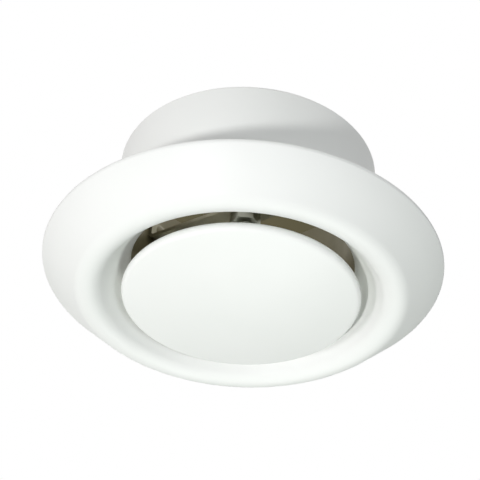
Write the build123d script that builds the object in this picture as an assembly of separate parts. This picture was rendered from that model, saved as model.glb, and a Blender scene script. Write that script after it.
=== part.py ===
from build123d import *
import math
import os

# A round disc valve for a ventilation duct, as it hangs from a ceiling. Millimetres.
# The duct's axis is Z, up into the duct; z = 0 is the ceiling plane; the face looks down.

# Coated sheet of the collar, ring and disc
sheet = 0.8

# Mounting collar: the sleeve that goes into the duct, with a flange under the ceiling
collar_r = 49.5
collar_top = 47.0
collar_bend = 1.5
edge_roll = 1.4
edge_return = 1.0
flange_gap = 5.8
screw_hole_r = 2.25
screw_count = 4
screw_first_deg = 45.0

# Bayonet: tabs lanced out of the collar's wall, each with an end turned up as a stop, and the
# neck's lugs that hook over them
bayonet_count = 3
bayonet_first_deg = 90.0
tab_lead_deg = 12.0
tab_z = 8.0
stop_height = 2.4
stop_gap = 0.4
stop_relief = 0.6
lug_sweep_deg = 12.0
lug_sheet = 1.0
lug_height = 8.0
lug_wall_gap = 0.8
lug_tab_gap = 0.8
lug_lift = 0.3

# Bell ring: return flange, outer cone, rounded crest, inner cone and throat lip
ring_r = 73.3
rim_return = 5.0
rim_bend = 1.2
crest_reach = 13.9
crest_apex_z = -17.95
crest_round = 7.0
throat_corner_z = 0.5
throat_round = 4.0
lip_z = 2.5

# Neck: a bare steel sleeve as tall as the collar, flared at its foot to lap the ring's back
neck_gap = 5.85
lap_gap = 0.05
neck_flare = 7.0

# Foam seal between neck and collar
gasket_bottom = 2.2
gasket_tab_gap = 0.4
gasket_wall_gap = 0.3
glue_gap = 0.05

# Bridge: a bent strip across the neck, riveted at both ends
bridge_deg = 146.0
bridge_z = 27.0
bridge_sheet = 1.5
bridge_width = 12.0
bridge_bend = 2.5
rivet_r = 2.0
rivet_head_r = 3.0
rivet_head = 1.2
rivet_margin = 0.5
rivet_hole_gap = 0.05

# Spindle and its nuts: M6
thread_r = 2.95
nut_bore_r = 3.05
nut_flats = 10.0
nut_height = 5.0
nut_chamfer = 0.6
washer_r = 6.0
washer_bore_r = 3.2
washer_sheet = 1.0
bridge_hole_r = 3.3
spindle_top = 44.8
spindle_chamfer = 0.8
head_r = 6.0
head_height = 2.0
clip_r = 5.5
clip_sheet = 0.7
clip_slot = 4.0
clip_depth = 1.2
clip_side_gap = 0.05
groove_depth = 0.65
groove_r_gap = 0.05

# Disc: a shallow dome with a rolled rim, at the opening it is set to
disc_lap = 2.2
disc_rim_z = -11.9
disc_rim_round = 2.0
disc_dome_r = 200.0
disc_roll_deg = 120.0

# Hub: a pressed cup on the disc's back, round the spindle's head
hub_flange_r = 14.0
hub_cup_r = 8.2
hub_sheet = 1.0
hub_bend = 1.2
hub_hole_r = 3.3
head_gap = 0.2

# Places that follow from the sizes above
collar_inner_r = collar_r - sheet
neck_outer_r = collar_inner_r - neck_gap
neck_inner_r = neck_outer_r - sheet
throat_r = neck_inner_r - lap_gap - sheet
crest_apex_r = throat_r + crest_reach
flange_r = ring_r - rim_return - flange_gap
screw_circle_r = (collar_r + flange_r) / 2
tab_reach = neck_gap - glue_gap - lug_sheet - lug_tab_gap
tab_tip_r = collar_inner_r - tab_reach
stop_deg = math.degrees(sheet / tab_tip_r)
tab_tail_deg = lug_sweep_deg / 2 + math.degrees(stop_gap / tab_tip_r) + stop_deg
disc_r = throat_r + disc_lap
bridge_top_z = bridge_z + bridge_sheet
rivet_z = bridge_z + bridge_bend + rivet_head_r + rivet_margin
bridge_end_z = rivet_z + rivet_head_r + rivet_margin
neck_top = collar_top
washer_top_z = bridge_top_z + washer_sheet
dome_rim_r = disc_r - disc_rim_round
dome_deg = math.degrees(math.asin(dome_rim_r / (disc_dome_r - disc_rim_round)))
dome_centre_z = disc_rim_z + (disc_dome_r - disc_rim_round) * math.cos(math.radians(dome_deg))
disc_back_z = dome_centre_z - disc_dome_r + sheet
head_bottom_z = disc_back_z + head_gap
head_top_z = head_bottom_z + head_height
hub_ceiling_z = head_top_z + head_gap
bayonet_places = [bayonet_first_deg + i * 360 / bayonet_count for i in range(bayonet_count)]


def sheet_section(path, thickness, side):
    """Section of a sheet drawn by one of its faces, in radius and height."""
    return make_face(Wire(path.edges()).offset_2d(thickness, side=side))


def spun(section, sweep_deg=360.0, middle_deg=0.0):
    """A section turned about the duct's axis, with the middle of its sweep at an azimuth."""
    solid = revolve(Plane.XZ * section, Axis.Z, sweep_deg)
    return Rot(0, 0, middle_deg - sweep_deg / 2) * solid


def block(r_low, r_high, z_low, z_high):
    """A rectangle between two radii and two heights, as a section to spin."""
    centre = ((r_low + r_high) / 2, (z_low + z_high) / 2)
    return Pos(*centre) * Rectangle(r_high - r_low, z_high - z_low)


def hex_nut(bottom_z, height):
    """A six-sided nut on the spindle's axis, chamfered at both ends of its corners."""
    body = extrude(RegularPolygon(nut_flats / 2, 6, major_radius=False), height)
    corner_r = nut_flats / math.sqrt(3)
    turned = extrude(Circle(corner_r), height)
    turned = chamfer(turned.edges(), nut_chamfer)
    nut = body & turned
    nut -= extrude(Circle(nut_bore_r), height)
    return Pos(0, 0, bottom_z) * nut


def make_mounting_collar():
    """Sleeve with a flange, a rolled safe edge, screw holes and lanced bayonet tabs."""
    roll_z = collar_top - edge_roll
    wall = FilletPolyline((flange_r, 0), (collar_r, 0), (collar_r, roll_z), radius=collar_bend)
    roll = CenterArc((collar_r - edge_roll, roll_z), edge_roll, 0, 180)
    end = Line(roll @ 1, roll @ 1 - (0, edge_return))
    collar = spun(sheet_section(wall + roll + end, sheet, Side.LEFT))
    holes = PolarLocations(screw_circle_r, screw_count, screw_first_deg)
    collar -= holes * Cylinder(screw_hole_r, 4 * sheet)
    tab_top = tab_z + sheet
    tab_sweep_deg = tab_lead_deg + tab_tail_deg
    window = block(collar_inner_r - sheet, collar_r + sheet, tab_top, tab_top + tab_reach)
    tab = block(tab_tip_r, collar_r, tab_z, tab_top)
    stop = block(tab_tip_r, collar_inner_r - stop_relief, tab_z, tab_top + stop_height)
    for place in bayonet_places:
        tab_middle_deg = place + (tab_tail_deg - tab_lead_deg) / 2
        collar -= spun(window, tab_sweep_deg, tab_middle_deg)
        collar += spun(tab, tab_sweep_deg, tab_middle_deg)
        collar += spun(stop, stop_deg, place + tab_tail_deg - stop_deg / 2)
    return collar


def throat_points():
    """The ring's apex below the crest, and the corner where its inner cone meets the throat."""
    return Vector(crest_apex_r, crest_apex_z), Vector(throat_r, throat_corner_z)


def make_valve_ring():
    """Deep-drawn bell: return flange, outer cone, crest, inner cone and throat lip."""
    apex, throat = throat_points()
    to_rim = Vector(ring_r - rim_bend, -rim_bend) - apex
    cone_lean = math.atan2(to_rim.Y, to_rim.X) - math.asin(rim_bend / to_rim.length)
    rim_corner_r = crest_apex_r - crest_apex_z / math.tan(cone_lean)
    path = FilletPolyline(
        (ring_r - rim_return, 0),
        (rim_corner_r, 0),
        apex,
        throat,
        (throat_r, lip_z),
        radius=[rim_bend, crest_round, throat_round],
    )
    return spun(sheet_section(path, sheet, Side.RIGHT))


def make_neck_sleeve():
    """Steel sleeve whose flared foot lies on the back of the ring's inner cone."""
    apex, throat = throat_points()
    flare = throat + (apex - throat).normalized() * neck_flare
    path = FilletPolyline(flare, throat, (throat_r, neck_top), radius=[throat_round])
    lapped = Wire(path.edges()).offset_2d(sheet + lap_gap, side=Side.RIGHT, closed=False)
    neck = spun(sheet_section(lapped, sheet, Side.RIGHT))
    return neck - bridge_rivet_holes()


def make_neck_gasket():
    """Foam ring glued round the neck, below the collar's tabs."""
    section = block(
        neck_outer_r + glue_gap,
        collar_inner_r - gasket_wall_gap,
        gasket_bottom,
        tab_z - gasket_tab_gap,
    )
    return spun(section)


def make_bayonet_lugs():
    """Bent brackets on the neck, each with a foot over one of the collar's tabs."""
    foot_z = tab_z + sheet + lug_lift
    root_r = neck_outer_r + glue_gap
    path = FilletPolyline(
        (collar_inner_r - lug_wall_gap, foot_z),
        (root_r, foot_z),
        (root_r, foot_z + lug_height),
        radius=[lug_sheet],
    )
    section = sheet_section(path, lug_sheet, Side.RIGHT)
    return [spun(section, lug_sweep_deg, place) for place in bayonet_places]


def bridge_reach():
    """How far out the bridge's flat ends stand, with their edges on the round neck."""
    return math.sqrt((neck_inner_r - glue_gap) ** 2 - (bridge_width / 2) ** 2)


def rivet_axis(end_deg):
    """A place on the neck's axis whose X runs out through one end of the bridge."""
    return Location((0, 0, rivet_z), (0, 0, end_deg))


def bridge_rivet_holes():
    """The rivets' holes through the neck and the bridge's ends."""
    hole = Cylinder(rivet_r + rivet_hole_gap, 4 * rivet_head_r, rotation=(0, 90, 0))
    return [rivet_axis(bridge_deg + turn) * Pos(neck_inner_r, 0, 0) * hole for turn in (0, 180)]


def make_bridge():
    """Strip bent up at both ends, with a clearance hole for the spindle."""
    reach = bridge_reach()
    path = FilletPolyline(
        (-reach, bridge_end_z),
        (-reach, bridge_z),
        (reach, bridge_z),
        (reach, bridge_end_z),
        radius=[bridge_bend, bridge_bend],
    )
    section = Plane.XZ * sheet_section(path, bridge_sheet, Side.LEFT)
    strip = Rot(0, 0, bridge_deg) * extrude(section, bridge_width / 2, both=True)
    strip -= Pos(0, 0, bridge_z) * Cylinder(bridge_hole_r, 4 * bridge_sheet)
    return strip - bridge_rivet_holes()


def make_bridge_rivets():
    """Rivets with a round head inside the bridge and a flat one outside the neck."""
    inside_r = bridge_reach() - bridge_sheet
    outside_r = neck_outer_r + glue_gap
    dome_r = (rivet_head_r**2 + rivet_head**2) / (2 * rivet_head)
    dome_arc_deg = math.degrees(math.asin(rivet_head_r / dome_r))
    dome = CenterArc((inside_r - rivet_head + dome_r, 0), dome_r, 180 - dome_arc_deg, dome_arc_deg)
    shank = Polyline(
        (inside_r, rivet_head_r),
        (inside_r, rivet_r),
        (outside_r, rivet_r),
        (outside_r, rivet_head_r),
        (outside_r + rivet_head, rivet_head_r),
        (outside_r + rivet_head, 0),
        (inside_r - rivet_head, 0),
    )
    rivet = revolve(make_face(dome + shank), Axis.X)
    return [rivet_axis(bridge_deg + turn) * rivet for turn in (0, 180)]


def make_lock_washer():
    """Plain washer under the lock nut."""
    return spun(block(washer_bore_r, washer_r, bridge_top_z, washer_top_z))


def clip_bottom_z():
    """Underside of the stop clip, in its groove below the spindle's chamfer."""
    return spindle_top - spindle_chamfer - clip_depth - clip_sheet


def make_spindle():
    """Threaded rod with a round head in the hub and a clip groove near its top."""
    rod_height = spindle_top - head_bottom_z
    rod = Pos(0, 0, head_bottom_z) * extrude(Circle(thread_r), rod_height)
    rod = chamfer(rod.edges().sort_by(Axis.Z)[-1], spindle_chamfer)
    rod += Pos(0, 0, head_bottom_z) * extrude(Circle(head_r), head_height)
    groove_low = clip_bottom_z() - clip_side_gap
    groove_high = clip_bottom_z() + clip_sheet + clip_side_gap
    return rod - spun(block(thread_r - groove_depth, 2 * thread_r, groove_low, groove_high))


def make_stop_clip():
    """Open ring pushed into the spindle's groove from one side."""
    bore_r = thread_r - groove_depth + groove_r_gap
    outline = Circle(clip_r) - Circle(bore_r)
    outline -= Pos(clip_r, 0) * Rectangle(2 * clip_r, clip_slot)
    return Pos(0, 0, clip_bottom_z()) * extrude(outline, clip_sheet)


def make_valve_disc():
    """Shallow dome whose rim is rolled back over itself."""
    dome = CenterArc((0, dome_centre_z), disc_dome_r, -90, dome_deg)
    rim = CenterArc(
        (dome_rim_r, disc_rim_z), disc_rim_round, dome_deg - 90, disc_roll_deg + 90 - dome_deg
    )
    return spun(sheet_section(dome + rim, sheet, Side.LEFT))


def disc_back(radius):
    """A point on the back of the dome, at a radius."""
    back_r = disc_dome_r - sheet
    return radius, dome_centre_z - math.sqrt(back_r**2 - radius**2) + glue_gap


def make_disc_hub():
    """Pressed cup with a flange on the disc's back and a hole for the spindle."""
    path = FilletPolyline(
        disc_back(hub_flange_r),
        disc_back(hub_cup_r),
        (hub_cup_r, hub_ceiling_z),
        (hub_hole_r, hub_ceiling_z),
        radius=[hub_bend / 2, hub_bend],
    )
    return spun(sheet_section(path, hub_sheet, Side.RIGHT))


def main():
    pieces = {
        "mounting_collar": make_mounting_collar(),
        "valve_ring": make_valve_ring(),
        "neck_sleeve": make_neck_sleeve(),
        "neck_gasket": make_neck_gasket(),
        "bayonet_lugs": Compound(make_bayonet_lugs()),
        "bridge": make_bridge(),
        "bridge_rivets": Compound(make_bridge_rivets()),
        "bridge_nut": hex_nut(bridge_z - nut_height, nut_height),
        "lock_washer": make_lock_washer(),
        "lock_nut": hex_nut(washer_top_z, nut_height),
        "spindle": make_spindle(),
        "stop_clip": make_stop_clip(),
        "valve_disc": make_valve_disc(),
        "disc_hub": make_disc_hub(),
    }
    os.makedirs("parts", exist_ok=True)
    for name, piece in pieces.items():
        export_step(piece, f"parts/{name}.step")


main()
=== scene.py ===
import math

import bmesh
import bpy
from mathutils import Matrix, Vector


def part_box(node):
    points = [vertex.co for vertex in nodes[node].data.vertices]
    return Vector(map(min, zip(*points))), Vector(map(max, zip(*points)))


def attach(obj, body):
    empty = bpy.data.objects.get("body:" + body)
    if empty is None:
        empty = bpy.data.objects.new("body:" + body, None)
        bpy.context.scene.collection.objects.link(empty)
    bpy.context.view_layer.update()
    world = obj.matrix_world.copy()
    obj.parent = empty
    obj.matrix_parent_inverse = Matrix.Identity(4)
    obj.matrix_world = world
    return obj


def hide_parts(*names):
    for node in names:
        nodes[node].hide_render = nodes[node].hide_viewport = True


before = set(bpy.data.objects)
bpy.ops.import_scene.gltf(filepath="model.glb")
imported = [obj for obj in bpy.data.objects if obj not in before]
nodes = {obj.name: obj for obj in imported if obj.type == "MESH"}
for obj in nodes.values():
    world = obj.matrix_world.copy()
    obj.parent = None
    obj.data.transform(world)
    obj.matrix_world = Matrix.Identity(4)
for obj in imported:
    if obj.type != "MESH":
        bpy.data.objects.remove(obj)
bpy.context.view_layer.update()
mm = 0.001
print("frame loaded:", len(nodes), "nodes")


def hexLinear(code):
    # an sRGB hex colour as linear RGBA
    parts = [int(code[i:i + 2], 16) / 255 for i in (1, 3, 5)]
    linear = [c / 12.92 if c <= 0.04045 else ((c + 0.055) / 1.055) ** 2.4 for c in parts]
    return (*linear, 1.0)


def addNode(tree, kind, links=(), **settings):
    # one node with its settings, and its inputs set to a value or linked to a socket
    node = tree.nodes.new(kind)
    for name, value in settings.items():
        setattr(node, name, value)
    for socket, value in links:
        if isinstance(value, bpy.types.NodeSocket):
            tree.links.new(value, node.inputs[socket])
        else:
            node.inputs[socket].default_value = value
    return node


def newMaterial(name):
    material = bpy.data.materials.new(name)
    material.use_nodes = True
    material.node_tree.nodes.clear()
    return material, material.node_tree


def textureScale(size):
    # the scale at which a texture repeats about once in this many millimetres
    return 1 / (size * mm)


colourA, colourB, colourOut = 6, 7, 2  # a Mix node's colour sockets, because its names repeat
noiseLow, noiseHigh = 0.3, 0.7         # most values of a noise texture lie between these

# White powder coat, baked on deep-drawn sheet: semi-gloss, near neutral, with a faint orange peel
# that only breaks up the edge of a highlight.
powderCoat = {
    "white": "#ECEDEA",
    "shade": "#E8EAE6",
    "cloudSize": 30,      # mm, slow drift of the film's thickness
    "cloudDetail": 3.0,
    "peelSize": 1.6,      # mm, orange peel
    "peelDetail": 1.0,
    "peelDepth": 0.006,   # mm
    "roughness": (0.5, 0.58),
    "ior": 1.5,
    "specular": 0.35,
}


def makePowderCoat():
    material, tree = newMaterial("white_powder_coat_semi_gloss")
    where = addNode(tree, "ShaderNodeTexCoord").outputs["Object"]
    cloud = addNode(tree, "ShaderNodeTexNoise", [
        ("Vector", where), ("Scale", textureScale(powderCoat["cloudSize"])),
        ("Detail", powderCoat["cloudDetail"])])
    tint = addNode(tree, "ShaderNodeMix", [
        ("Factor", cloud.outputs["Fac"]),
        (colourA, hexLinear(powderCoat["white"])), (colourB, hexLinear(powderCoat["shade"]))],
        data_type="RGBA")
    low, high = powderCoat["roughness"]
    gloss = addNode(tree, "ShaderNodeMapRange", [
        ("Value", cloud.outputs["Fac"]), ("From Min", noiseLow), ("From Max", noiseHigh),
        ("To Min", low), ("To Max", high)])
    peel = addNode(tree, "ShaderNodeTexNoise", [
        ("Vector", where), ("Scale", textureScale(powderCoat["peelSize"])),
        ("Detail", powderCoat["peelDetail"])])
    bump = addNode(tree, "ShaderNodeBump", [
        ("Height", peel.outputs["Fac"]), ("Strength", 1.0),
        ("Distance", powderCoat["peelDepth"] * mm)])
    coat = addNode(tree, "ShaderNodeBsdfPrincipled", [
        ("Base Color", tint.outputs[colourOut]), ("Roughness", gloss.outputs[0]),
        ("IOR", powderCoat["ior"]), ("Specular IOR Level", powderCoat["specular"]),
        ("Normal", bump.outputs[0])])
    addNode(tree, "ShaderNodeOutputMaterial", [("Surface", coat.outputs[0])])
    return material


# Zinc-plated steel, clear passivated: a soft cool metal with a fine grain and a cloudy film
zincPlate = {
    "name": "zinc_plated_steel_clear_passivated",
    "bright": "#C2C4B8",
    "dull": "#9FA194",
    "cloudSize": 7,       # mm
    "cloudDetail": 4.0,
    "grainSize": 0.35,    # mm
    "grainDetail": 2.0,
    "grainDepth": 0.003,  # mm
    "roughness": (0.34, 0.48),
}

# Dull zinc on the strip that carries the spindle, darker and browner than the clear zinc as painted
# shade of the unlit inside of the collar
shadeDarkenedZinc = {
    "name": "zinc_plated_steel_shade_darkened",
    "bright": "#A39F8B",
    "dull": "#7B7763",
    "cloudSize": 11,      # mm
    "cloudDetail": 4.0,
    "grainSize": 0.5,     # mm
    "grainDetail": 2.0,
    "grainDepth": 0.004,  # mm
    "roughness": (0.34, 0.5),
}


def makeZincPlate(look):
    material, tree = newMaterial(look["name"])
    where = addNode(tree, "ShaderNodeTexCoord").outputs["Object"]
    cloud = addNode(tree, "ShaderNodeTexNoise", [
        ("Vector", where), ("Scale", textureScale(look["cloudSize"])),
        ("Detail", look["cloudDetail"])])
    tint = addNode(tree, "ShaderNodeMix", [
        ("Factor", cloud.outputs["Fac"]),
        (colourA, hexLinear(look["bright"])), (colourB, hexLinear(look["dull"]))],
        data_type="RGBA")
    low, high = look["roughness"]
    gloss = addNode(tree, "ShaderNodeMapRange", [
        ("Value", cloud.outputs["Fac"]), ("From Min", noiseLow), ("From Max", noiseHigh),
        ("To Min", low), ("To Max", high)])
    grain = addNode(tree, "ShaderNodeTexNoise", [
        ("Vector", where), ("Scale", textureScale(look["grainSize"])),
        ("Detail", look["grainDetail"])])
    bump = addNode(tree, "ShaderNodeBump", [
        ("Height", grain.outputs["Fac"]), ("Strength", 1.0),
        ("Distance", look["grainDepth"] * mm)])
    metal = addNode(tree, "ShaderNodeBsdfPrincipled", [
        ("Base Color", tint.outputs[colourOut]), ("Roughness", gloss.outputs[0]),
        ("Metallic", 1.0), ("Normal", bump.outputs[0])])
    addNode(tree, "ShaderNodeOutputMaterial", [("Surface", metal.outputs[0])])
    return material


# Olive chromate over zinc: a dark olive-brown film with soft streaks, only partly metallic; the olive
# is the film's own, its darkness is partly painted shade of the unlit inside of the collar
oliveChromateAndShade = {
    "light": "#857D60",
    "dark": "#6B6549",
    "streakSize": 9,      # mm round the sleeve
    "streakLength": 4,    # times longer along the axis
    "streakDetail": 5.0,
    "roughness": (0.36, 0.5),
    "metallic": 0.3,
}


def makeOliveChromateAndShade():
    material, tree = newMaterial("olive_chromated_steel_and_painted_shade")
    where = addNode(tree, "ShaderNodeTexCoord").outputs["Object"]
    stretch = addNode(tree, "ShaderNodeMapping", [
        ("Vector", where), ("Scale", (1.0, 1.0, 1 / oliveChromateAndShade["streakLength"]))])
    streak = addNode(tree, "ShaderNodeTexNoise", [
        ("Vector", stretch.outputs[0]), ("Scale", textureScale(oliveChromateAndShade["streakSize"])),
        ("Detail", oliveChromateAndShade["streakDetail"])])
    tint = addNode(tree, "ShaderNodeMix", [
        ("Factor", streak.outputs["Fac"]),
        (colourA, hexLinear(oliveChromateAndShade["light"])), (colourB, hexLinear(oliveChromateAndShade["dark"]))],
        data_type="RGBA")
    low, high = oliveChromateAndShade["roughness"]
    gloss = addNode(tree, "ShaderNodeMapRange", [
        ("Value", streak.outputs["Fac"]), ("From Min", noiseLow), ("From Max", noiseHigh),
        ("To Min", low), ("To Max", high)])
    metal = addNode(tree, "ShaderNodeBsdfPrincipled", [
        ("Base Color", tint.outputs[colourOut]), ("Roughness", gloss.outputs[0]),
        ("Metallic", oliveChromateAndShade["metallic"])])
    addNode(tree, "ShaderNodeOutputMaterial", [("Surface", metal.outputs[0])])
    return material


# Closed-cell foam, cut from sheet: matt charcoal with small open pores, each darker towards its middle
# as painted shade
cutFoam = {
    "skin": "#3A3B3C",
    "pore": "#1E1F20",
    "poreSize": 0.9,      # mm
    "poreDepth": 0.15,    # mm
    "poreStrength": 0.8,
    "roughness": 0.9,
}


def makeCutFoam():
    material, tree = newMaterial("closed_cell_foam_charcoal")
    where = addNode(tree, "ShaderNodeTexCoord").outputs["Object"]
    cell = addNode(tree, "ShaderNodeTexVoronoi", [
        ("Vector", where), ("Scale", textureScale(cutFoam["poreSize"]))])
    # painted shade: the colour darkens towards the middle of each pore
    tint = addNode(tree, "ShaderNodeMix", [
        ("Factor", cell.outputs["Distance"]),
        (colourA, hexLinear(cutFoam["pore"])), (colourB, hexLinear(cutFoam["skin"]))],
        data_type="RGBA")
    bump = addNode(tree, "ShaderNodeBump", [
        ("Height", cell.outputs["Distance"]), ("Strength", cutFoam["poreStrength"]),
        ("Distance", cutFoam["poreDepth"] * mm)])
    foam = addNode(tree, "ShaderNodeBsdfPrincipled", [
        ("Base Color", tint.outputs[colourOut]), ("Roughness", cutFoam["roughness"]),
        ("Normal", bump.outputs[0])])
    addNode(tree, "ShaderNodeOutputMaterial", [("Surface", foam.outputs[0])])
    return material


whiteCoat = makePowderCoat()
zincSteel = makeZincPlate(zincPlate)
shadeDarkenedSteel = makeZincPlate(shadeDarkenedZinc)
oliveSteelAndShade = makeOliveChromateAndShade()
charcoalFoam = makeCutFoam()

# The nodes that aren't clear zinc
finishes = {
    "mounting_collar": whiteCoat,
    "valve_ring": whiteCoat,
    "valve_disc": whiteCoat,
    # neck and rivets: olive film whose darkness is partly painted shade
    "neck_sleeve": oliveSteelAndShade,
    # bridge: zinc darkened and browned as painted shade
    "bridge": shadeDarkenedSteel,
    "bridge_rivets": oliveSteelAndShade,
    "neck_gasket": charcoalFoam,
}
for name, node in nodes.items():
    node.data.materials.clear()
    node.data.materials.append(finishes.get(name, zincSteel))
print("finishes set")


def newTree(name, sizes):
    # a Geometry Nodes tree with a geometry in and out, and one named input for each size
    tree = bpy.data.node_groups.new(name, "GeometryNodeTree")
    tree.interface.new_socket("Geometry", in_out="INPUT", socket_type="NodeSocketGeometry")
    for label, kind in sizes.items():
        tree.interface.new_socket(label, in_out="INPUT", socket_type="NodeSocket" + kind)
    tree.interface.new_socket("Geometry", in_out="OUTPUT", socket_type="NodeSocketGeometry")
    return tree, addNode(tree, "NodeGroupInput").outputs


def endTree(tree, geometry, finish):
    smooth = addNode(tree, "GeometryNodeSetShadeSmooth", [("Geometry", geometry)])
    real = addNode(tree, "GeometryNodeRealizeInstances", [("Geometry", smooth.outputs[0])])
    done = addNode(tree, "GeometryNodeSetMaterial", [
        ("Geometry", real.outputs[0]), ("Material", finish)])
    addNode(tree, "NodeGroupOutput", [("Geometry", done.outputs[0])])


def growPiece(name, host, tree, values):
    # runs a tree on a host mesh and keeps what it gives as a plain mesh at the origin
    piece = bpy.data.objects.new(name, host)
    shape = piece.modifiers.new("shape", "NODES")
    shape.node_group = tree
    for socket in tree.interface.items_tree:
        if socket.in_out == "INPUT" and socket.name in values:
            shape[socket.identifier] = values[socket.name]
    bpy.context.scene.collection.objects.link(piece)
    grown = piece.evaluated_get(bpy.context.evaluated_depsgraph_get())
    mesh = bpy.data.meshes.new_from_object(grown)
    piece.modifiers.remove(shape)
    piece.data = mesh
    mesh.name = name
    skin = bmesh.new()
    skin.from_mesh(mesh)
    bmesh.ops.recalc_face_normals(skin, faces=skin.faces)
    skin.to_mesh(mesh)
    skin.free()
    print(name, len(mesh.polygons), "faces")
    return piece


def sectionHost(outline, closed):
    # a half section as a line of edges: each point is radius, height and bend, in mm
    host = bpy.data.meshes.new("section")
    points = [(radius * mm, 0, height * mm) for radius, height, bend in outline]
    edges = [(i, i + 1) for i in range(len(points) - 1)]
    if closed:
        edges.append((len(points) - 1, 0))
    host.from_pydata(points, edges, [])
    bends = host.attributes.new("bend", "FLOAT", "POINT")
    bends.data.foreach_set("value", [bend * mm for radius, height, bend in outline])
    return host


turnInputs = {"Turn Radius": "Float", "Turn Steps": "Int", "Bend Steps": "Float", "Run Cuts": "Int"}
turnSizes = {
    "Turn Radius": 30 * mm,  # of the circle that carries the section, not a size of the piece
    "Turn Steps": 256,
    "Bend Steps": 3 / mm,    # 3 for each mm of a bend's radius
    "Run Cuts": 1,           # between two points of the section
}
leastBendSteps = 2.0
closeGap = 0.001 * mm        # points nearer than this are one


def makeTurnTree():
    # turns a half section about Z: its corners are rounded by their bend first
    tree, given = newTree("turned_section", {**turnInputs, "Finish": "Material"})
    line = addNode(tree, "GeometryNodeMeshToCurve", [("Mesh", given["Geometry"])])
    bend = addNode(tree, "GeometryNodeInputNamedAttribute", [("Name", "bend")], data_type="FLOAT")
    steps = addNode(tree, "ShaderNodeMath", [
        (0, bend.outputs["Attribute"]), (1, given["Bend Steps"]), (2, leastBendSteps)],
        operation="MULTIPLY_ADD")
    soft = addNode(tree, "GeometryNodeFilletCurve", [
        ("Curve", line.outputs[0]), ("Count", steps.outputs[0]),
        ("Radius", bend.outputs["Attribute"])], mode="POLY")
    fine = addNode(tree, "GeometryNodeSubdivideCurve", [
        ("Curve", soft.outputs[0]), ("Cuts", given["Run Cuts"])])
    place = addNode(tree, "ShaderNodeSeparateXYZ", [
        (0, addNode(tree, "GeometryNodeInputPosition").outputs[0])])
    reach = addNode(tree, "ShaderNodeMath", [
        (0, place.outputs["X"]), (1, given["Turn Radius"])], operation="SUBTRACT")
    below = addNode(tree, "ShaderNodeMath", [
        (0, place.outputs["Z"]), (1, -1.0)], operation="MULTIPLY")
    laid = addNode(tree, "ShaderNodeCombineXYZ", [
        ("X", reach.outputs[0]), ("Y", below.outputs[0])])
    section = addNode(tree, "GeometryNodeSetPosition", [
        ("Geometry", fine.outputs[0]), ("Position", laid.outputs[0])])
    circle = addNode(tree, "GeometryNodeCurvePrimitiveCircle", [
        ("Resolution", given["Turn Steps"]), ("Radius", given["Turn Radius"])], mode="RADIUS")
    upright = addNode(tree, "GeometryNodeSetCurveNormal", [
        ("Curve", circle.outputs[0])], mode="Z_UP")
    skin = addNode(tree, "GeometryNodeCurveToMesh", [
        ("Curve", upright.outputs[0]), ("Profile Curve", section.outputs[0])])
    whole = addNode(tree, "GeometryNodeMergeByDistance", [
        ("Geometry", skin.outputs[0]), ("Distance", closeGap)])
    endTree(tree, whole.outputs[0], given["Finish"])
    return tree


turnTree = makeTurnTree()


def turnedWithin(tree, given):
    # a turned section inside another tree
    links = [(label, given[label]) for label in ("Geometry", *turnInputs, "Finish")]
    return addNode(tree, "GeometryNodeGroup", links, node_tree=turnTree).outputs[0]


# Bell ring: one drawn sheet, from its return flange under the ceiling to the lip of the throat
bellRing = {
    "returnWidth": 5.0,   # mm, flange turned in at the rim
    "rimBend": 1.2,
    "crestReach": 13.9,   # from the throat out to the cones' meeting point
    "crestDepth": 17.95,  # down to the cones' meeting point
    "crestRound": 7.0,
    "throatRadius": 41.2,
    "throatCorner": 0.5,
    "throatRound": 4.0,
    "sheet": 0.8,
    "edgeRound": 0.3,     # coated edge of the sheet
}


def sheetOutline(path, sheet, edgeRound):
    # the closed outline of a sheet that lies to the right of its drawn face
    corners = [Vector((radius, height)) for radius, height, bend in path]
    runs = [(b - a).normalized() for a, b in zip(corners, corners[1:])]
    sides = [Vector((run.y, -run.x)) for run in runs]
    face = [(*corners[i], edgeRound if i in (0, len(path) - 1) else path[i][2])
            for i in range(len(path))]
    back = [(*(corners[0] + sides[0] * sheet), edgeRound)]
    for i in range(1, len(path) - 1):
        meet = (sides[i - 1] + sides[i]) / (1 + sides[i - 1].dot(sides[i]))
        back.append((*(corners[i] + meet * sheet), path[i][2] - sheet))
    back.append((*(corners[-1] + sides[-1] * sheet), edgeRound))
    return face + back[::-1]


def makeBellRing():
    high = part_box("valve_ring")[1]
    rimRadius, lipTop = high.x / mm, high.z / mm
    throat = bellRing["throatRadius"]
    apex = Vector((throat + bellRing["crestReach"], -bellRing["crestDepth"]))
    bend = bellRing["rimBend"]
    toRim = Vector((rimRadius - bend, -bend)) - apex
    lean = math.atan2(toRim.y, toRim.x) - math.asin(bend / toRim.length)
    rimCorner = apex.x - apex.y / math.tan(lean)
    path = [
        (rimRadius - bellRing["returnWidth"], 0, 0),
        (rimCorner, 0, bend),
        (*apex, bellRing["crestRound"]),
        (throat, bellRing["throatCorner"], bellRing["throatRound"]),
        (throat, lipTop, 0),
    ]
    section = sectionHost(sheetOutline(path, bellRing["sheet"], bellRing["edgeRound"]), True)
    ring = growPiece("bell_ring", section, turnTree, {**turnSizes, "Finish": whiteCoat})
    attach(ring, "insert")
    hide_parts("valve_ring")


# Domed disc: a shallow dome whose rim rolls back over itself, one sheet
domedDisc = {
    "domeRadius": 200.0,  # mm
    "rimRound": 2.0,
    "rimHeight": -11.9,   # centre of the rolled rim
    "rollEnd": 120.0,     # degrees
    "sheet": 0.8,
    "edgeRound": 0.3,
    "domePoints": 32,
    "rimPoints": 16,
}


def arcPoints(centre, radius, startDeg, endDeg, count):
    # points of an arc in the half section, with no bend of their own
    turns = [math.radians(startDeg + (endDeg - startDeg) * i / (count - 1)) for i in range(count)]
    return [(centre[0] + radius * math.cos(t), centre[1] + radius * math.sin(t), 0) for t in turns]


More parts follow.
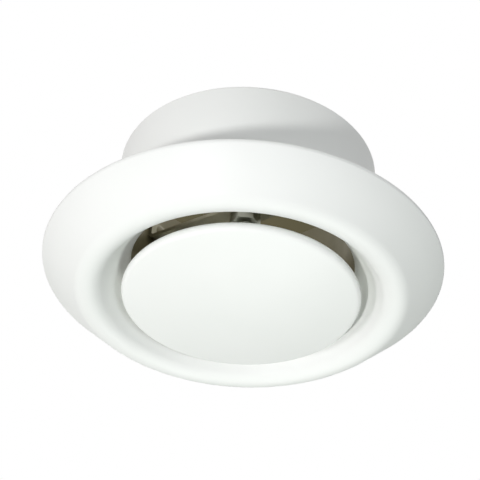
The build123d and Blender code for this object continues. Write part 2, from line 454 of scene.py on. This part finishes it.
def makeDomedDisc():
    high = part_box("valve_disc")[1]
    dome, roll = domedDisc["domeRadius"], domedDisc["rimRound"]
    rimCentre = (high.x / mm - roll, domedDisc["rimHeight"])
    lean = math.degrees(math.asin(rimCentre[0] / (dome - roll)))
    domeCentre = (0, rimCentre[1] + (dome - roll) * math.cos(math.radians(lean)))
    face, back = [], []
    for points, inset in ((face, 0), (back, domedDisc["sheet"])):
        points += arcPoints(domeCentre, dome - inset, -90, lean - 90, domedDisc["domePoints"])
        points += arcPoints(
            rimCentre, roll - inset, lean - 90, domedDisc["rollEnd"], domedDisc["rimPoints"])[1:]
        points[0] = (0, *points[0][1:])
        points[-1] = (*points[-1][:2], domedDisc["edgeRound"])
    section = sectionHost(face + back[::-1], False)
    disc = growPiece("domed_disc", section, turnTree, {**turnSizes, "Finish": whiteCoat})
    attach(disc, "disc")
    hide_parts("valve_disc")


# Spindle: a rolled M6 thread on a rod with a round head below and a clip groove near its top
threadedSpindle = {
    "thread": 2.93,       # mm, crest radius
    "core": 2.42,
    "pitch": 1.0,
    "crestFlat": 0.14,
    "runOut": 0.015,      # share of the thread's length over which each end fades
    "runOutScale": 0.02,  # of the ridge, where it ends
    "headRadius": 6.0,
    "headHeight": 2.0,
    "headRound": 0.5,
    "plainFoot": 1.2,     # plain rod above the head
    "plainTop": 0.9,      # plain rod below the groove
    "grooveRadius": 2.3,
    "grooveBelowTop": 2.75,
    "grooveWidth": 0.8,
    "endChamfer": 0.8,
    "edgeRound": 0.12,
    "turnSteps": 40,
}


def makeThreadTree():
    # joins a right-hand screw ridge to the turned rod, running out at both ends
    tree, given = newTree("threaded_rod", {
        **turnInputs,
        "Core": "Float", "Crest": "Float", "Pitch": "Float", "Crest Flat": "Float",
        "Start": "Float", "Turns": "Float", "Finish": "Material"})
    rod = turnedWithin(tree, given)
    rise = addNode(tree, "ShaderNodeMath", [
        (0, given["Turns"]), (1, given["Pitch"])], operation="MULTIPLY")
    helix = addNode(tree, "GeometryNodeCurveSpiral", [
        ("Resolution", given["Turn Steps"]), ("Rotations", given["Turns"]),
        ("Start Radius", given["Core"]), ("End Radius", given["Core"]),
        ("Height", rise.outputs[0]), ("Reverse", True)])
    upright = addNode(tree, "GeometryNodeSetCurveNormal", [
        ("Curve", helix.outputs[0])], mode="Z_UP")
    along = addNode(tree, "GeometryNodeSplineParameter").outputs["Factor"]
    middle = addNode(tree, "ShaderNodeMath", [(0, along), (1, 0.5)], operation="SUBTRACT")
    fromMiddle = addNode(tree, "ShaderNodeMath", [(0, middle.outputs[0])], operation="ABSOLUTE")
    fade = addNode(tree, "ShaderNodeMapRange", [
        ("Value", fromMiddle.outputs[0]),
        ("From Min", 0.5 - threadedSpindle["runOut"]), ("From Max", 0.5),
        ("To Min", 1.0), ("To Max", threadedSpindle["runOutScale"])])
    depth = addNode(tree, "ShaderNodeMath", [
        (0, given["Crest"]), (1, given["Core"])], operation="SUBTRACT")
    ridge = addNode(tree, "GeometryNodeCurvePrimitiveQuadrilateral", [
        ("Bottom Width", given["Pitch"]), ("Top Width", given["Crest Flat"]),
        ("Height", depth.outputs[0]), ("Offset", 0.0)], mode="TRAPEZOID")
    lift = addNode(tree, "ShaderNodeMath", [(0, depth.outputs[0]), (1, 0.5)], operation="MULTIPLY")
    place = addNode(tree, "ShaderNodeSeparateXYZ", [
        (0, addNode(tree, "GeometryNodeInputPosition").outputs[0])])
    outwards = addNode(tree, "ShaderNodeMath", [
        (0, place.outputs["Y"]), (1, lift.outputs[0])], operation="ADD")
    turnedUp = addNode(tree, "ShaderNodeCombineXYZ", [
        ("X", outwards.outputs[0]), ("Y", place.outputs["X"])])
    profile = addNode(tree, "GeometryNodeSetPosition", [
        ("Geometry", ridge.outputs[0]), ("Position", turnedUp.outputs[0])])
    thread = addNode(tree, "GeometryNodeCurveToMesh", [
        ("Curve", upright.outputs[0]), ("Profile Curve", profile.outputs[0]),
        ("Scale", fade.outputs[0]), ("Fill Caps", True)])
    up = addNode(tree, "ShaderNodeCombineXYZ", [("Z", given["Start"])])
    raised = addNode(tree, "GeometryNodeTransform", [
        ("Geometry", thread.outputs[0]), ("Translation", up.outputs[0])])
    whole = addNode(tree, "GeometryNodeJoinGeometry", [(0, rod), (0, raised.outputs[0])])
    endTree(tree, whole.outputs[0], given["Finish"])
    return tree


def makeThreadedSpindle():
    low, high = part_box("spindle")
    foot, top = low.z / mm, high.z / mm
    rod = threadedSpindle
    thread, core, edge = rod["thread"], rod["core"], rod["edgeRound"]
    headTop = foot + rod["headHeight"]
    threadFoot = headTop + rod["plainFoot"]
    grooveLow = top - rod["grooveBelowTop"]
    grooveHigh = grooveLow + rod["grooveWidth"]
    threadTop = grooveLow - rod["plainTop"]
    outline = [
        (0, foot, 0),
        (rod["headRadius"], foot, rod["headRound"]),
        (rod["headRadius"], headTop, rod["headRound"]),
        (thread, headTop, edge),
        (thread, threadFoot, edge),
        (core, threadFoot + thread - core, edge),
        (core, threadTop - thread + core, edge),
        (thread, threadTop, edge),
        (thread, grooveLow, edge),
        (rod["grooveRadius"], grooveLow, edge),
        (rod["grooveRadius"], grooveHigh, edge),
        (thread, grooveHigh, edge),
        (thread, top - rod["endChamfer"], edge),
        (thread - rod["endChamfer"], top, edge),
        (0, top, 0),
    ]
    spindle = growPiece("threaded_spindle", sectionHost(outline, False), makeThreadTree(), {
        **turnSizes, "Turn Radius": thread * mm, "Turn Steps": rod["turnSteps"],
        "Core": core * mm, "Crest": thread * mm, "Pitch": rod["pitch"] * mm,
        "Crest Flat": rod["crestFlat"] * mm, "Start": threadFoot * mm,
        "Turns": (threadTop - threadFoot) / rod["pitch"], "Finish": zincSteel})
    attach(spindle, "disc")
    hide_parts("spindle")


# Foam seal: a strip wound round the neck, with rounded edges, open pores and a butt joint
foamSeal = {
    "inset": 0.1,         # mm inside the space it fills
    "outerRound": 1.4,
    "innerRound": 0.5,
    "poreSize": 1.3,
    "poreDepth": 0.22,
    "poreEdge": (0.15, 0.45),  # share of a pore's size over which its wall rises
    "waveSize": 16,
    "waveDepth": 0.12,
    "jointAt": 118,       # degrees
    "jointDepth": 0.5,
    "jointWidth": 0.9,    # mm
    "turnSteps": 540,
    "runCuts": 4,
}


def makeFoamTree():
    # a turned strip with pores and slow waves pressed into its skin
    tree, given = newTree("foam_strip", {
        **turnInputs,
        "Pore Size": "Float", "Pore Depth": "Float", "Wave Size": "Float", "Wave Depth": "Float",
        "Joint Across": "Vector", "Joint Along": "Vector", "Joint Width": "Float",
        "Joint Depth": "Float", "Finish": "Material"})
    strip = turnedWithin(tree, given)
    spot = addNode(tree, "GeometryNodeInputPosition").outputs[0]
    poreScale = addNode(tree, "ShaderNodeMath", [
        (0, 1.0), (1, given["Pore Size"])], operation="DIVIDE")
    cells = addNode(tree, "ShaderNodeTexVoronoi", [
        ("Vector", spot), ("Scale", poreScale.outputs[0])])
    edgeLow, edgeHigh = foamSeal["poreEdge"]
    pore = addNode(tree, "ShaderNodeMapRange", [
        ("Value", cells.outputs["Distance"]), ("From Min", edgeLow), ("From Max", edgeHigh),
        ("To Min", given["Pore Depth"]), ("To Max", 0.0)], interpolation_type="SMOOTHSTEP")
    waveScale = addNode(tree, "ShaderNodeMath", [
        (0, 1.0), (1, given["Wave Size"])], operation="DIVIDE")
    waves = addNode(tree, "ShaderNodeTexNoise", [
        ("Vector", spot), ("Scale", waveScale.outputs[0])])
    wave = addNode(tree, "ShaderNodeMath", [
        (0, waves.outputs["Fac"]), (1, given["Wave Depth"])], operation="MULTIPLY")
    across = addNode(tree, "ShaderNodeVectorMath", [
        (0, spot), (1, given["Joint Across"])], operation="DOT_PRODUCT")
    offLine = addNode(tree, "ShaderNodeMath", [(0, across.outputs["Value"])], operation="ABSOLUTE")
    dip = addNode(tree, "ShaderNodeMapRange", [
        ("Value", offLine.outputs[0]), ("From Max", given["Joint Width"]),
        ("To Min", given["Joint Depth"]), ("To Max", 0.0)])
    along = addNode(tree, "ShaderNodeVectorMath", [
        (0, spot), (1, given["Joint Along"])], operation="DOT_PRODUCT")
    thisSide = addNode(tree, "ShaderNodeMath", [
        (0, along.outputs["Value"]), (1, 0.0)], operation="GREATER_THAN")
    joint = addNode(tree, "ShaderNodeMath", [
        (0, dip.outputs[0]), (1, thisSide.outputs[0])], operation="MULTIPLY")
    dent = addNode(tree, "ShaderNodeMath", [
        (0, pore.outputs[0]), (1, wave.outputs[0])], operation="ADD")
    sink = addNode(tree, "ShaderNodeMath", [
        (0, dent.outputs[0]), (1, joint.outputs[0])], operation="MAXIMUM")
    inwards = addNode(tree, "ShaderNodeMath", [
        (0, sink.outputs[0]), (1, -1.0)], operation="MULTIPLY")
    push = addNode(tree, "ShaderNodeVectorMath", [
        (0, addNode(tree, "GeometryNodeInputNormal").outputs[0]), ("Scale", inwards.outputs[0])],
        operation="SCALE")
    pressed = addNode(tree, "GeometryNodeSetPosition", [
        ("Geometry", strip), ("Offset", push.outputs[0])])
    endTree(tree, pressed.outputs[0], given["Finish"])
    return tree


def makeFoamSeal():
    low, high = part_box("neck_gasket")
    foam = foamSeal
    space = nodes["neck_gasket"].data.vertices
    inner = min(math.hypot(v.co.x, v.co.y) for v in space) / mm + foam["inset"]
    outer = high.x / mm - foam["inset"]
    bottom, top = low.z / mm + foam["inset"], high.z / mm - foam["inset"]
    outline = [
        (inner, bottom, foam["innerRound"]),
        (inner, top, foam["innerRound"]),
        (outer, top, foam["outerRound"]),
        (outer, bottom, foam["outerRound"]),
    ]
    at = math.radians(foam["jointAt"])
    seal = growPiece("foam_seal", sectionHost(outline, True), makeFoamTree(), {
        **turnSizes, "Turn Steps": foam["turnSteps"], "Run Cuts": foam["runCuts"],
        "Pore Size": foam["poreSize"] * mm, "Pore Depth": foam["poreDepth"] * mm,
        "Wave Size": foam["waveSize"] * mm, "Wave Depth": foam["waveDepth"] * mm,
        "Joint Across": (-math.sin(at), math.cos(at), 0.0),
        "Joint Along": (math.cos(at), math.sin(at), 0.0),
        "Joint Width": foam["jointWidth"] / 2 * mm, "Joint Depth": foam["jointDepth"] * mm,
        "Finish": charcoalFoam})
    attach(seal, "insert")
    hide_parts("neck_gasket")


# Spot welds: shallow round nuggets, two on each lug and a ring of them on the hub's flange
spotWeld = {
    "radius": 1.5,        # mm
    "height": 0.16,
    "segments": 20,
    "rings": 10,
    "lugCount": 3,
    "lugFirst": 90,       # degrees
    "lugSpread": 2.4,     # degrees to each side of a lug's middle
    "lugHeight": 14.0,    # mm above the ceiling plane
    "hubCount": 4,
    "hubFirst": 20,       # degrees
    "hubRadius": 11.6,    # mm
}


def makeWeldTree():
    # sets a flattened bead on each point, turned to face along its aim
    tree, given = newTree("spot_welds", {
        "Radius": "Float", "Height": "Float", "Finish": "Material"})
    bead = addNode(tree, "GeometryNodeMeshUVSphere", [
        ("Segments", spotWeld["segments"]), ("Rings", spotWeld["rings"]), ("Radius", 1.0)])
    size = addNode(tree, "ShaderNodeCombineXYZ", [
        ("X", given["Radius"]), ("Y", given["Radius"]), ("Z", given["Height"])])
    aim = addNode(tree, "GeometryNodeInputNamedAttribute", [
        ("Name", "aim")], data_type="FLOAT_VECTOR")
    turn = addNode(tree, "FunctionNodeAlignRotationToVector", [
        ("Vector", aim.outputs["Attribute"])], axis="Z")
    beads = addNode(tree, "GeometryNodeInstanceOnPoints", [
        ("Points", given["Geometry"]), ("Instance", bead.outputs[0]),
        ("Rotation", turn.outputs[0]), ("Scale", size.outputs[0])])
    endTree(tree, beads.outputs[0], given["Finish"])
    return tree


weldTree = makeWeldTree()


def makeSpotWelds(name, node, body, casts):
    # each cast is a start and a direction: a weld sits where it meets the node
    spots = []
    for start, along in casts:
        found, place, normal, face = nodes[node].ray_cast(start, along)
        if not found:
            raise RuntimeError("no seat for a spot weld on " + node)
        spots.append((place, normal))
    host = bpy.data.meshes.new(name)
    host.from_pydata([place for place, normal in spots], [], [])
    aims = host.attributes.new("aim", "FLOAT_VECTOR", "POINT")
    aims.data.foreach_set("vector", [value for place, normal in spots for value in normal])
    welds = growPiece(name, host, weldTree, {
        "Radius": spotWeld["radius"] * mm, "Height": spotWeld["height"] * mm, "Finish": zincSteel})
    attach(welds, body)


def roundPoint(radius, degrees, height):
    turn = math.radians(degrees)
    return Vector((radius * math.cos(turn), radius * math.sin(turn), height))


def lugCasts():
    # from outside towards the axis, at two places on each lug
    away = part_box("mounting_collar")[1].x
    for lug in range(spotWeld["lugCount"]):
        middle = spotWeld["lugFirst"] + lug * 360 / spotWeld["lugCount"]
        for side in (-1, 1):
            turn = middle + side * spotWeld["lugSpread"]
            yield roundPoint(away, turn, spotWeld["lugHeight"] * mm), -roundPoint(1, turn, 0)


def hubCasts():
    # from the ceiling plane down onto the hub's flange
    for spot in range(spotWeld["hubCount"]):
        turn = spotWeld["hubFirst"] + spot * 360 / spotWeld["hubCount"]
        yield roundPoint(spotWeld["hubRadius"] * mm, turn, 0), Vector((0, 0, -1))


makeBellRing()
makeDomedDisc()
makeThreadedSpindle()
makeFoamSeal()
makeSpotWelds("lug_spot_welds", "bayonet_lugs", "insert", lugCasts())
makeSpotWelds("hub_spot_welds", "disc_hub", "disc", hubCasts())
print("pieces made")


# The photograph's camera: below the vent, looking up into it, with a slight roll
view = {
    "elevation": 37.392,  # degrees
    "roll": 3.373,        # degrees
    "offset": (0.87, -11.86, 437.8),  # mm, the vent's origin as the camera sees it
    "lens": 89.27,        # mm
    "sensor": 36,         # mm
    "picture": 480,       # pixels across
    "clipStart": 0.01,    # m
}


def makeCamera():
    tilt = math.radians(view["elevation"])
    roll = math.radians(view["roll"])
    along = Vector((0, math.cos(tilt), math.sin(tilt)))
    right = Vector((1, 0, 0))
    up = Vector((0, -math.sin(tilt), math.cos(tilt)))
    camRight = math.cos(roll) * right + math.sin(roll) * up
    camUp = math.cos(roll) * up - math.sin(roll) * right
    x, y, depth = (value * mm for value in view["offset"])
    place = -(x * camRight + y * camUp + depth * along)
    data = bpy.data.cameras.new("camera")
    data.sensor_width = view["sensor"]
    data.lens = view["lens"]
    data.clip_start = view["clipStart"]
    camera = bpy.data.objects.new("camera", data)
    turn = Matrix((camRight, camUp, -along)).transposed().to_4x4()
    camera.matrix_world = Matrix.Translation(place) @ turn
    bpy.context.scene.collection.objects.link(camera)
    bpy.context.scene.camera = camera
    return place, along, camRight, camUp


camPlace, camAlong, camRight, camUp = makeCamera()


# Studio lamps: azimuth to the right of the camera's side and drop below the ceiling plane, in degrees,
# then distance from what each lamp aims at and its width, in metres, and its power in watts
studioLamps = {
    "key": {"azimuth": -29, "drop": 46.5, "away": 1.4, "size": 0.13, "power": 11.4,
            "colour": "#FFFFFF", "aim": (-0.015, -0.067, 0)},
    "left_box": {"azimuth": -72, "drop": 30, "away": 1.2, "size": 0.3, "power": 4.0,
                 "colour": "#FFFAFF", "aim": (0, 0, -0.01)},
    "front_box": {"azimuth": 23, "drop": 34, "away": 1.2, "size": 0.3, "power": 4.15,
                  "colour": "#F6FAFF", "aim": (0, 0, -0.01)},
    "back_box": {"azimuth": 165, "drop": 58, "away": 1.2, "size": 0.3, "power": 6.0,
                 "colour": "#F8FFF9", "aim": (0, 0, -0.01)},
}

# Soft light of the pale room, strongest straight above
roomGlow = {
    "colour": "#FFFFFF",
    "strength": 1.36,
}
whiteStrength = 1.0       # at which a white backdrop renders as white


def makeLamps():
    for name, lamp in studioLamps.items():
        data = bpy.data.lights.new(name, "AREA")
        data.shape = "DISK"
        data.size = lamp["size"]
        data.energy = lamp["power"]
        data.color = hexLinear(lamp["colour"])[:3]
        side, drop = math.radians(lamp["azimuth"]), math.radians(lamp["drop"])
        toLamp = Vector((
            math.sin(side) * math.cos(drop), -math.cos(side) * math.cos(drop), -math.sin(drop)))
        source = bpy.data.objects.new(name, data)
        source.location = Vector(lamp["aim"]) + toLamp * lamp["away"]
        source.rotation_euler = (-toLamp).to_track_quat("-Z", "Y").to_euler()
        source.visible_camera = False
        bpy.context.scene.collection.objects.link(source)


def makeRoom():
    # white where the camera, a gloss or a clear part looks, and a light from above elsewhere
    world = bpy.data.worlds.new("pale_room")
    world.use_nodes = True
    tree = world.node_tree
    tree.nodes.clear()
    way = addNode(tree, "ShaderNodeTexCoord").outputs["Generated"]
    height = addNode(tree, "ShaderNodeSeparateXYZ", [(0, way)]).outputs["Z"]
    glow = addNode(tree, "ShaderNodeMapRange", [
        ("Value", height), ("To Max", roomGlow["strength"])])
    path = addNode(tree, "ShaderNodeLightPath").outputs
    cameraOrGloss = addNode(tree, "ShaderNodeMath", [
        (0, path["Is Camera Ray"]), (1, path["Is Glossy Ray"])], operation="MAXIMUM")
    seen = addNode(tree, "ShaderNodeMath", [
        (0, cameraOrGloss.outputs[0]), (1, path["Is Transmission Ray"])], operation="MAXIMUM")
    level = addNode(tree, "ShaderNodeMix", [
        ("Factor", seen.outputs[0]), ("A", glow.outputs[0]), ("B", whiteStrength)])
    sky = addNode(tree, "ShaderNodeBackground", [
        ("Color", hexLinear(roomGlow["colour"])), ("Strength", level.outputs[0])])
    addNode(tree, "ShaderNodeOutputWorld", [("Surface", sky.outputs[0])])
    bpy.context.scene.world = world


def setStage(name, mesh, material):
    # a backdrop that casts no shadow and adds no light to the coat
    mesh.materials.append(material)
    backdrop = bpy.data.objects.new(name, mesh)
    backdrop.visible_diffuse = False
    backdrop.visible_shadow = False
    bpy.context.scene.collection.objects.link(backdrop)


# Floor: pale, far below the ceiling that the vent hangs from
paleFloor = {
    "drop": 1.1,          # m
    "radius": 5.0,        # m
    "corners": 128,
    "colour": "#F1F1EE",
    "glow": 0.08,
    "fadeFrom": 0.25,     # m from the middle, where the floor starts to meet the white room
    "fadeTo": 1.1,        # m
}


def makeFloor():
    corners = paleFloor["corners"]
    mesh = bpy.data.meshes.new("floor")
    rim = [roundPoint(paleFloor["radius"], 360 * i / corners, -paleFloor["drop"])
           for i in range(corners)]
    mesh.from_pydata(rim, [], [list(range(corners))])
    material, tree = newMaterial("pale_painted_floor")
    where = addNode(tree, "ShaderNodeTexCoord").outputs["Object"]
    flat = addNode(tree, "ShaderNodeVectorMath", [
        (0, where), (1, (1.0, 1.0, 0.0))], operation="MULTIPLY")
    away = addNode(tree, "ShaderNodeVectorMath", [(0, flat.outputs[0])], operation="LENGTH")
    fade = addNode(tree, "ShaderNodeMapRange", [
        ("Value", away.outputs["Value"]),
        ("From Min", paleFloor["fadeFrom"]), ("From Max", paleFloor["fadeTo"])],
        interpolation_type="SMOOTHSTEP")
    colour = hexLinear(paleFloor["colour"])
    paint = addNode(tree, "ShaderNodeBsdfDiffuse", [("Color", colour)])
    glow = addNode(tree, "ShaderNodeEmission", [
        ("Color", colour), ("Strength", paleFloor["glow"])])
    near = addNode(tree, "ShaderNodeAddShader", [(0, paint.outputs[0]), (1, glow.outputs[0])])
    far = addNode(tree, "ShaderNodeEmission", [("Strength", whiteStrength)])
    both = addNode(tree, "ShaderNodeMixShader", [
        (0, fade.outputs[0]), (1, near.outputs[0]), (2, far.outputs[0])])
    addNode(tree, "ShaderNodeOutputMaterial", [("Surface", both.outputs[0])])
    setStage("floor", mesh, material)


# Painted shade: a dark card far behind the vent that glows olive-brown in place of the shade inside
# the collar; it only shows through the gap over the disc
paintedShadeCard = {
    "pixel": (245, 223),  # its middle in the picture
    "away": 1.7,          # m from the camera
    "width": 0.22,        # m
    "height": 0.048,      # m
    "light": "#645F49",
    "dark": "#58533F",
    "patchSize": 60,      # mm
    "patchDetail": 2.0,
}


def makePaintedShadeCard():
    half = view["picture"] / 2
    perPixel = view["sensor"] / view["lens"] / view["picture"]
    x, y = paintedShadeCard["pixel"]
    aim = camAlong + (x - half) * perPixel * camRight + (half - y) * perPixel * camUp
    middle = camPlace + paintedShadeCard["away"] * aim
    across, upright = camRight * paintedShadeCard["width"] / 2, camUp * paintedShadeCard["height"] / 2
    corners = [middle - across - upright, middle + across - upright,
               middle + across + upright, middle - across + upright]
    mesh = bpy.data.meshes.new("painted_shade_card")
    mesh.from_pydata(corners, [], [(0, 1, 2, 3)])
    material, tree = newMaterial("painted_shade_card_glow")
    where = addNode(tree, "ShaderNodeTexCoord").outputs["Object"]
    patch = addNode(tree, "ShaderNodeTexNoise", [
        ("Vector", where), ("Scale", textureScale(paintedShadeCard["patchSize"])),
        ("Detail", paintedShadeCard["patchDetail"])])
    tint = addNode(tree, "ShaderNodeMix", [
        ("Factor", patch.outputs["Fac"]),
        (colourA, hexLinear(paintedShadeCard["light"])), (colourB, hexLinear(paintedShadeCard["dark"]))],
        data_type="RGBA")
    # painted shade: the card glows at its own dark olive colour, whatever light falls on it
    shade = addNode(tree, "ShaderNodeEmission", [
        ("Color", tint.outputs[colourOut]), ("Strength", 1.0)])
    addNode(tree, "ShaderNodeOutputMaterial", [("Surface", shade.outputs[0])])
    setStage("painted_shade_card", mesh, material)


makeLamps()
makeRoom()
makeFloor()
makePaintedShadeCard()
bpy.context.scene.view_settings.view_transform = "Standard"
print("studio set")
